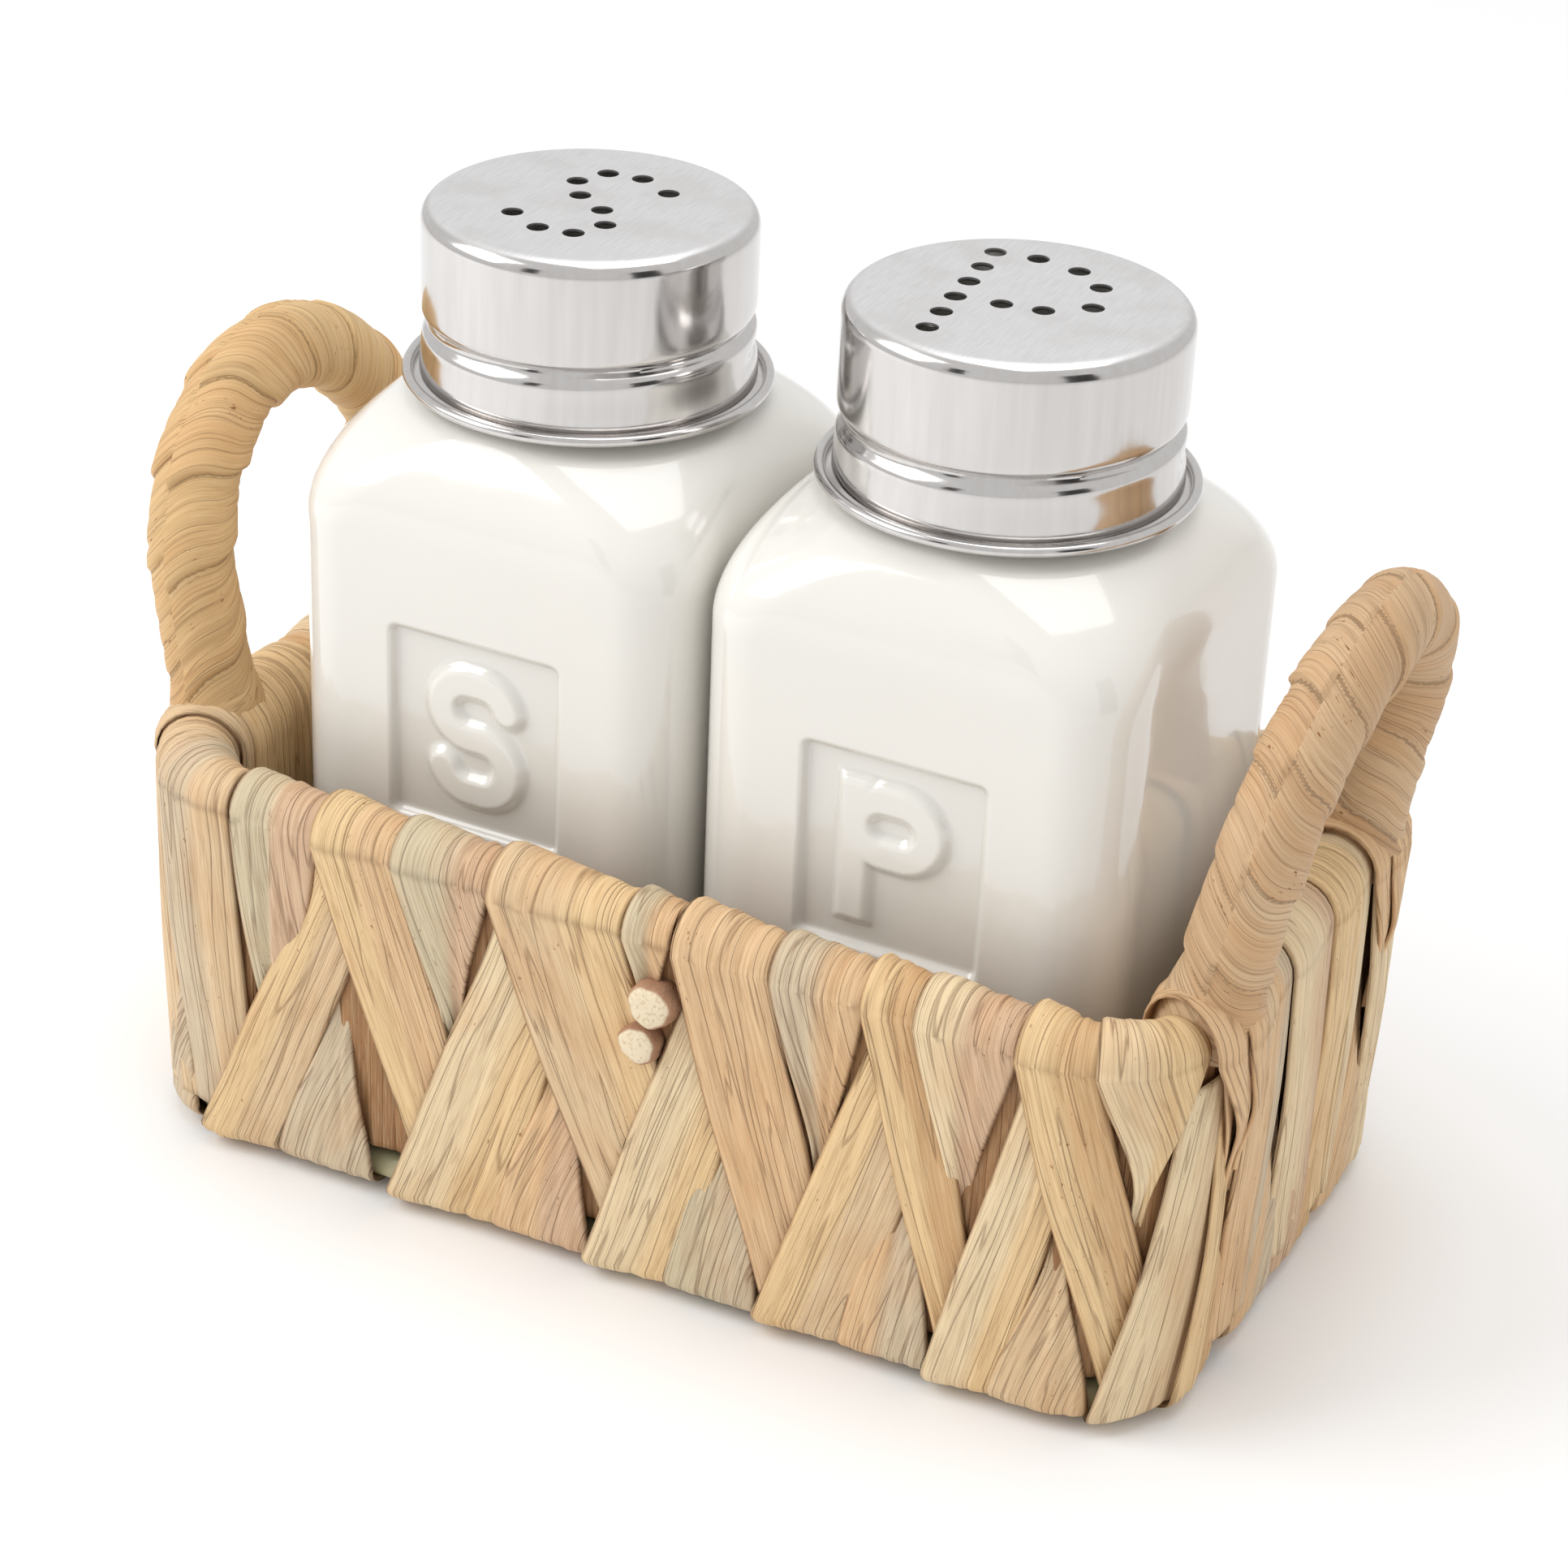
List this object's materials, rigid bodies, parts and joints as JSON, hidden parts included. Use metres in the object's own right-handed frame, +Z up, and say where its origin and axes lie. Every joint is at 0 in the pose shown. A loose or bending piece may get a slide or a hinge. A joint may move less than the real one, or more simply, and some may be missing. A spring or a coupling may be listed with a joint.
{
  "type": "salt and pepper shakers",
  "caption": "Square glazed salt and pepper bottles with steel screw lids, standing in a leaf-woven wire basket with two end handles.",
  "frame": {"origin": "on the ground, under the middle of the basket and of the whole object's bounding box", "axes": "+X from the salt bottle to the pepper bottle along the basket's long side, -Y is the front with the letters, +Z up"},
  "size_m": [0.1508, 0.076, 0.1134],
  "materials": {
    "frame_wire": "satin",
    "woven_leaf": "matte",
    "handle_leaf": "matte",
    "glazed_bottle": "gloss",
    "lid_washer": "matte",
    "steel_lid": "satin"
  },
  "bodies": {
    "basket": {"rim_wire": "frame_wire", "base_wire": "frame_wire", "front_left_post": "frame_wire", "front_right_post": "frame_wire", "back_left_post": "frame_wire", "back_right_post": "frame_wire", "base_cross_wires": "frame_wire", "front_weave": "woven_leaf", "back_weave": "woven_leaf", "left_weave": "woven_leaf", "right_weave": "woven_leaf", "front_left_corner_weave": "woven_leaf", "front_right_corner_weave": "woven_leaf", "back_left_corner_weave": "woven_leaf", "back_right_corner_weave": "woven_leaf", "base_weave": "woven_leaf", "left_handle_wire": "frame_wire", "right_handle_wire": "frame_wire", "left_handle_wrap": "handle_leaf", "right_handle_wrap": "handle_leaf"},
    "salt_shaker": {"salt_bottle": "glazed_bottle"},
    "salt_lid_seal": {"salt_washer": "lid_washer"},
    "salt_screw_lid": {"salt_lid": "steel_lid"},
    "pepper_shaker": {"pepper_bottle": "glazed_bottle"},
    "pepper_lid_seal": {"pepper_washer": "lid_washer"},
    "pepper_screw_lid": {"pepper_lid": "steel_lid"}
  },
  "joints": [
    {"name": "salt_lift", "type": "slide", "parent": "basket", "child": "salt_shaker", "axis": [0, 0, 1], "range_m": [0, 0.12]},
    {"name": "salt_lid_rise", "type": "slide", "parent": "salt_shaker", "child": "salt_lid_seal", "axis": [0, 0, 1], "range_m": [0, 0.02]},
    {"name": "salt_lid_turn", "type": "hinge", "parent": "salt_lid_seal", "child": "salt_screw_lid", "pos_m": [-0.0262, 0, 0.1], "axis": [0, 0, 1], "range_deg": [0, 1980]},
    {"name": "pepper_lift", "type": "slide", "parent": "basket", "child": "pepper_shaker", "axis": [0, 0, 1], "range_m": [0, 0.12]},
    {"name": "pepper_lid_rise", "type": "slide", "parent": "pepper_shaker", "child": "pepper_lid_seal", "axis": [0, 0, 1], "range_m": [0, 0.02]},
    {"name": "pepper_lid_turn", "type": "hinge", "parent": "pepper_lid_seal", "child": "pepper_screw_lid", "pos_m": [0.0262, 0, 0.1], "axis": [0, 0, 1], "range_deg": [0, 1980]}
  ],
  "couplings": [
    {"joint": "salt_lid_rise", "follows": "salt_lid_turn", "m_per_rad": 0.00057296},
    {"joint": "pepper_lid_rise", "follows": "pepper_lid_turn", "m_per_rad": 0.00057296}
  ]
}
